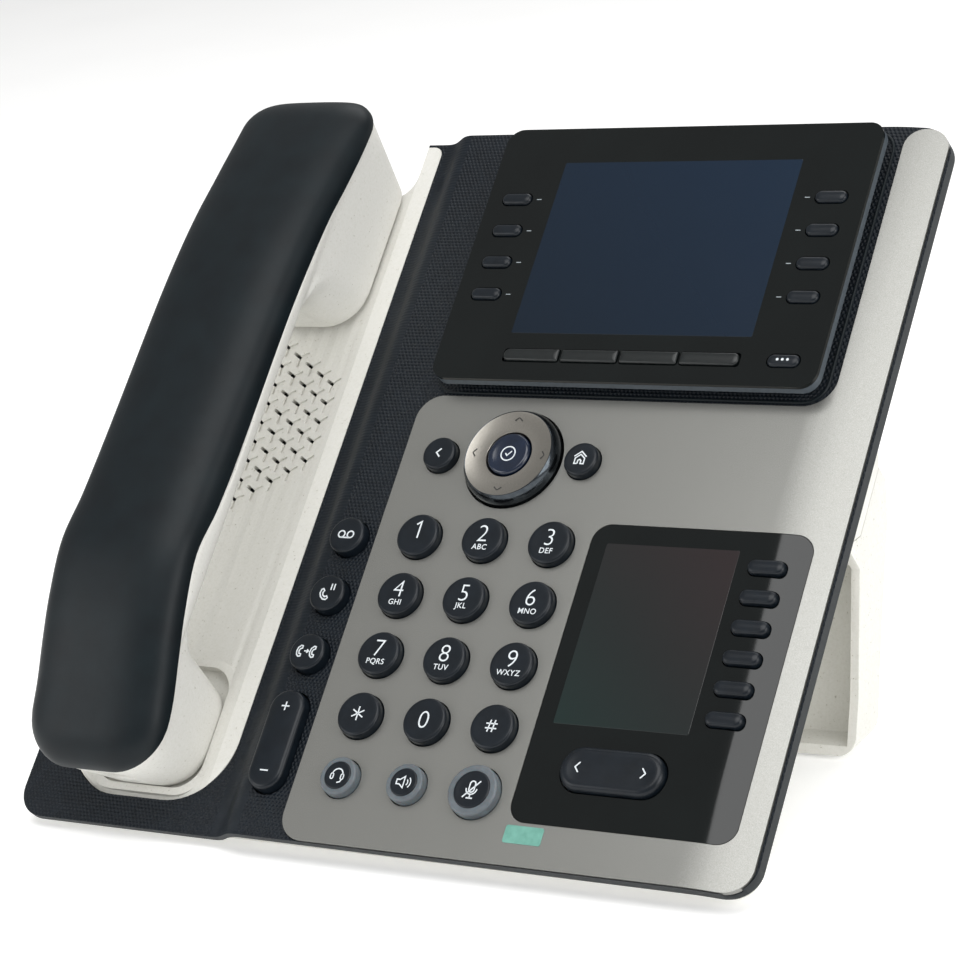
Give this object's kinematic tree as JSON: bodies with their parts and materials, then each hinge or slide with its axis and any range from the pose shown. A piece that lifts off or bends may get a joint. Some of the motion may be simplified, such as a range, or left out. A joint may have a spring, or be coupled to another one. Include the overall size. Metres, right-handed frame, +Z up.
{
  "type": "desk ip phone",
  "caption": "Desk IP phone: tilted case on a clip-on stand, lift-off handset, main display module, side display, sprung keys and rear sockets.",
  "frame": {"origin": "middle of the footprint of the whole object, on the desk", "axes": "+X to the user's right, +Y away from the user, +Z up; the face leans back at 43 degrees from the desk"},
  "size_m": [0.217, 0.1714, 0.1659],
  "materials": {
    "navy_plastic": "fine matt texture, dark blue",
    "silver_plastic": "satin champagne-silver paint with a fine grain",
    "cream_plastic": "off-white moulded plastic with tiny specks",
    "grey_plastic": "satin grey moulding",
    "dark_lens": "clear hard lens over a near-black mask",
    "screen": "unlit display, dark blue",
    "key_plastic": "glossy dark blue-black key with white print",
    "ring_key_plastic": "translucent grey ring round a dark cap",
    "board": "green solder mask",
    "silicone": "milky silicone rubber",
    "speaker_metal": "plated steel",
    "screw_steel": "zinc-plated steel",
    "foot_rubber": "dark grey rubber"
  },
  "bodies": {
    "base": {"top_case": "navy_plastic", "faceplate": "silver_plastic", "cradle": "cream_plastic", "rear_housing": "cream_plastic", "display_bezel": "grey_plastic", "display_lenses": "dark_lens", "lcd_panels": "screen", "circuit_boards": "board", "key_membrane": "silicone", "loudspeaker": "speaker_metal", "screws": "screw_steel"},
    "handset": {"handset_cover": "navy_plastic", "handset_shell": "cream_plastic", "handset_capsules": "speaker_metal"},
    "stand": {"stand": "cream_plastic", "stand_feet": "foot_rubber"},
    "hook_switch": {"hook_switch": "key_plastic"},
    "back_key": {"back_key": "key_plastic"},
    "headset_key": {"headset_key": "ring_key_plastic"},
    "hold_key": {"hold_key": "key_plastic"},
    "home_key": {"home_key": "key_plastic"},
    "key_0": {"key_0": "key_plastic"},
    "key_1": {"key_1": "key_plastic"},
    "key_2": {"key_2": "key_plastic"},
    "key_3": {"key_3": "key_plastic"},
    "key_4": {"key_4": "key_plastic"},
    "key_5": {"key_5": "key_plastic"},
    "key_6": {"key_6": "key_plastic"},
    "key_7": {"key_7": "key_plastic"},
    "key_8": {"key_8": "key_plastic"},
    "key_9": {"key_9": "key_plastic"},
    "key_hash": {"key_hash": "key_plastic"},
    "key_star": {"key_star": "key_plastic"},
    "line_key_1": {"line_key_1": "key_plastic"},
    "line_key_2": {"line_key_2": "key_plastic"},
    "line_key_3": {"line_key_3": "key_plastic"},
    "line_key_4": {"line_key_4": "key_plastic"},
    "line_key_5": {"line_key_5": "key_plastic"},
    "line_key_6": {"line_key_6": "key_plastic"},
    "line_key_7": {"line_key_7": "key_plastic"},
    "line_key_8": {"line_key_8": "key_plastic"},
    "message_key": {"message_key": "key_plastic"},
    "more_key": {"more_key": "key_plastic"},
    "mute_key": {"mute_key": "ring_key_plastic"},
    "nav_ring": {"nav_ring": "silver_plastic"},
    "page_rocker": {"page_rocker": "key_plastic"},
    "select_key": {"select_key": "key_plastic"},
    "side_key_1": {"side_key_1": "key_plastic"},
    "side_key_2": {"side_key_2": "key_plastic"},
    "side_key_3": {"side_key_3": "key_plastic"},
    "side_key_4": {"side_key_4": "key_plastic"},
    "side_key_5": {"side_key_5": "key_plastic"},
    "side_key_6": {"side_key_6": "key_plastic"},
    "soft_key_1": {"soft_key_1": "key_plastic"},
    "soft_key_2": {"soft_key_2": "key_plastic"},
    "soft_key_3": {"soft_key_3": "key_plastic"},
    "soft_key_4": {"soft_key_4": "key_plastic"},
    "speaker_key": {"speaker_key": "ring_key_plastic"},
    "transfer_key": {"transfer_key": "key_plastic"},
    "volume_rocker": {"volume_rocker": "key_plastic"}
  },
  "joints": [
    {"name": "back_key_press", "type": "slide", "parent": "base", "child": "back_key", "axis": [0, 0.682, -0.7314], "range_m": [0, 0.0012], "stiffness_N_per_m": 1200, "springref_m": -0.0003},
    {"name": "headset_key_press", "type": "slide", "parent": "base", "child": "headset_key", "axis": [0, 0.682, -0.7314], "range_m": [0, 0.0012], "stiffness_N_per_m": 1200, "springref_m": -0.0003},
    {"name": "hold_key_press", "type": "slide", "parent": "base", "child": "hold_key", "axis": [0, 0.682, -0.7314], "range_m": [0, 0.0012], "stiffness_N_per_m": 1200, "springref_m": -0.0003},
    {"name": "home_key_press", "type": "slide", "parent": "base", "child": "home_key", "axis": [0, 0.682, -0.7314], "range_m": [0, 0.0012], "stiffness_N_per_m": 1200, "springref_m": -0.0003},
    {"name": "key_0_press", "type": "slide", "parent": "base", "child": "key_0", "axis": [0, 0.682, -0.7314], "range_m": [0, 0.0012], "stiffness_N_per_m": 1200, "springref_m": -0.0003},
    {"name": "key_1_press", "type": "slide", "parent": "base", "child": "key_1", "axis": [0, 0.682, -0.7314], "range_m": [0, 0.0012], "stiffness_N_per_m": 1200, "springref_m": -0.0003},
    {"name": "key_2_press", "type": "slide", "parent": "base", "child": "key_2", "axis": [0, 0.682, -0.7314], "range_m": [0, 0.0012], "stiffness_N_per_m": 1200, "springref_m": -0.0003},
    {"name": "key_3_press", "type": "slide", "parent": "base", "child": "key_3", "axis": [0, 0.682, -0.7314], "range_m": [0, 0.0012], "stiffness_N_per_m": 1200, "springref_m": -0.0003},
    {"name": "key_4_press", "type": "slide", "parent": "base", "child": "key_4", "axis": [0, 0.682, -0.7314], "range_m": [0, 0.0012], "stiffness_N_per_m": 1200, "springref_m": -0.0003},
    {"name": "key_5_press", "type": "slide", "parent": "base", "child": "key_5", "axis": [0, 0.682, -0.7314], "range_m": [0, 0.0012], "stiffness_N_per_m": 1200, "springref_m": -0.0003},
    {"name": "key_6_press", "type": "slide", "parent": "base", "child": "key_6", "axis": [0, 0.682, -0.7314], "range_m": [0, 0.0012], "stiffness_N_per_m": 1200, "springref_m": -0.0003},
    {"name": "key_7_press", "type": "slide", "parent": "base", "child": "key_7", "axis": [0, 0.682, -0.7314], "range_m": [0, 0.0012], "stiffness_N_per_m": 1200, "springref_m": -0.0003},
    {"name": "key_8_press", "type": "slide", "parent": "base", "child": "key_8", "axis": [0, 0.682, -0.7314], "range_m": [0, 0.0012], "stiffness_N_per_m": 1200, "springref_m": -0.0003},
    {"name": "key_9_press", "type": "slide", "parent": "base", "child": "key_9", "axis": [0, 0.682, -0.7314], "range_m": [0, 0.0012], "stiffness_N_per_m": 1200, "springref_m": -0.0003},
    {"name": "key_hash_press", "type": "slide", "parent": "base", "child": "key_hash", "axis": [0, 0.682, -0.7314], "range_m": [0, 0.0012], "stiffness_N_per_m": 1200, "springref_m": -0.0003},
    {"name": "key_star_press", "type": "slide", "parent": "base", "child": "key_star", "axis": [0, 0.682, -0.7314], "range_m": [0, 0.0012], "stiffness_N_per_m": 1200, "springref_m": -0.0003},
    {"name": "line_key_1_press", "type": "slide", "parent": "base", "child": "line_key_1", "axis": [0, 0.682, -0.7314], "range_m": [0, 0.0006], "stiffness_N_per_m": 1200, "springref_m": -0.0003},
    {"name": "line_key_2_press", "type": "slide", "parent": "base", "child": "line_key_2", "axis": [0, 0.682, -0.7314], "range_m": [0, 0.0006], "stiffness_N_per_m": 1200, "springref_m": -0.0003},
    {"name": "line_key_3_press", "type": "slide", "parent": "base", "child": "line_key_3", "axis": [0, 0.682, -0.7314], "range_m": [0, 0.0006], "stiffness_N_per_m": 1200, "springref_m": -0.0003},
    {"name": "line_key_4_press", "type": "slide", "parent": "base", "child": "line_key_4", "axis": [0, 0.682, -0.7314], "range_m": [0, 0.0006], "stiffness_N_per_m": 1200, "springref_m": -0.0003},
    {"name": "line_key_5_press", "type": "slide", "parent": "base", "child": "line_key_5", "axis": [0, 0.682, -0.7314], "range_m": [0, 0.0006], "stiffness_N_per_m": 1200, "springref_m": -0.0003},
    {"name": "line_key_6_press", "type": "slide", "parent": "base", "child": "line_key_6", "axis": [0, 0.682, -0.7314], "range_m": [0, 0.0006], "stiffness_N_per_m": 1200, "springref_m": -0.0003},
    {"name": "line_key_7_press", "type": "slide", "parent": "base", "child": "line_key_7", "axis": [0, 0.682, -0.7314], "range_m": [0, 0.0006], "stiffness_N_per_m": 1200, "springref_m": -0.0003},
    {"name": "line_key_8_press", "type": "slide", "parent": "base", "child": "line_key_8", "axis": [0, 0.682, -0.7314], "range_m": [0, 0.0006], "stiffness_N_per_m": 1200, "springref_m": -0.0003},
    {"name": "message_key_press", "type": "slide", "parent": "base", "child": "message_key", "axis": [0, 0.682, -0.7314], "range_m": [0, 0.0012], "stiffness_N_per_m": 1200, "springref_m": -0.0003},
    {"name": "more_key_press", "type": "slide", "parent": "base", "child": "more_key", "axis": [0, 0.682, -0.7314], "range_m": [0, 0.0006], "stiffness_N_per_m": 1200, "springref_m": -0.0003},
    {"name": "mute_key_press", "type": "slide", "parent": "base", "child": "mute_key", "axis": [0, 0.682, -0.7314], "range_m": [0, 0.0012], "stiffness_N_per_m": 1200, "springref_m": -0.0003},
    {"name": "select_key_press", "type": "slide", "parent": "base", "child": "select_key", "axis": [0, 0.682, -0.7314], "range_m": [0, 0.001], "stiffness_N_per_m": 1200, "springref_m": -0.0003},
    {"name": "side_key_1_press", "type": "slide", "parent": "base", "child": "side_key_1", "axis": [0, 0.682, -0.7314], "range_m": [0, 0.001], "stiffness_N_per_m": 1200, "springref_m": -0.0003},
    {"name": "side_key_2_press", "type": "slide", "parent": "base", "child": "side_key_2", "axis": [0, 0.682, -0.7314], "range_m": [0, 0.001], "stiffness_N_per_m": 1200, "springref_m": -0.0003},
    {"name": "side_key_3_press", "type": "slide", "parent": "base", "child": "side_key_3", "axis": [0, 0.682, -0.7314], "range_m": [0, 0.001], "stiffness_N_per_m": 1200, "springref_m": -0.0003},
    {"name": "side_key_4_press", "type": "slide", "parent": "base", "child": "side_key_4", "axis": [0, 0.682, -0.7314], "range_m": [0, 0.001], "stiffness_N_per_m": 1200, "springref_m": -0.0003},
    {"name": "side_key_5_press", "type": "slide", "parent": "base", "child": "side_key_5", "axis": [0, 0.682, -0.7314], "range_m": [0, 0.001], "stiffness_N_per_m": 1200, "springref_m": -0.0003},
    {"name": "side_key_6_press", "type": "slide", "parent": "base", "child": "side_key_6", "axis": [0, 0.682, -0.7314], "range_m": [0, 0.001], "stiffness_N_per_m": 1200, "springref_m": -0.0003},
    {"name": "soft_key_1_press", "type": "slide", "parent": "base", "child": "soft_key_1", "axis": [0, 0.682, -0.7314], "range_m": [0, 0.0006], "stiffness_N_per_m": 1200, "springref_m": -0.0003},
    {"name": "soft_key_2_press", "type": "slide", "parent": "base", "child": "soft_key_2", "axis": [0, 0.682, -0.7314], "range_m": [0, 0.0006], "stiffness_N_per_m": 1200, "springref_m": -0.0003},
    {"name": "soft_key_3_press", "type": "slide", "parent": "base", "child": "soft_key_3", "axis": [0, 0.682, -0.7314], "range_m": [0, 0.0006], "stiffness_N_per_m": 1200, "springref_m": -0.0003},
    {"name": "soft_key_4_press", "type": "slide", "parent": "base", "child": "soft_key_4", "axis": [0, 0.682, -0.7314], "range_m": [0, 0.0006], "stiffness_N_per_m": 1200, "springref_m": -0.0003},
    {"name": "speaker_key_press", "type": "slide", "parent": "base", "child": "speaker_key", "axis": [0, 0.682, -0.7314], "range_m": [0, 0.0012], "stiffness_N_per_m": 1200, "springref_m": -0.0003},
    {"name": "transfer_key_press", "type": "slide", "parent": "base", "child": "transfer_key", "axis": [0, 0.682, -0.7314], "range_m": [0, 0.0012], "stiffness_N_per_m": 1200, "springref_m": -0.0003},
    {"name": "volume_rocker_rock", "type": "hinge", "parent": "base", "child": "volume_rocker", "pos_m": [-0.0299, -0.0574, 0.02342], "axis": [1, 0, 0], "range_deg": [-3.5, 3.5], "stiffness_Nm_per_rad": 0.4},
    {"name": "page_rocker_rock", "type": "hinge", "parent": "base", "child": "page_rocker", "pos_m": [0.0663, -0.05696, 0.02383], "axis": [0, 0.7314, 0.682], "range_deg": [-4, 4], "stiffness_Nm_per_rad": 0.4},
    {"name": "nav_ring_rock", "type": "hinge", "parent": "base", "child": "nav_ring", "pos_m": [0.0121, 0.00318, 0.0806], "axis": [1, 0, 0], "range_deg": [-3, 3], "stiffness_Nm_per_rad": 0.4},
    {"name": "handset_lift", "type": "slide", "parent": "base", "child": "handset", "axis": [0, -0.682, 0.7314], "range_m": [0, 0.08]},
    {"name": "hook_switch_rise", "type": "slide", "parent": "base", "child": "hook_switch", "axis": [0, -0.682, 0.7314], "range_m": [0, 0.003]},
    {"name": "stand_release", "type": "slide", "parent": "base", "child": "stand", "axis": [0, -0.7314, -0.682], "range_m": [0, 0.008]}
  ],
  "couplings": [
    {"joint": "hook_switch_rise", "follows": "handset_lift", "ratio": 0.0375}
  ]
}
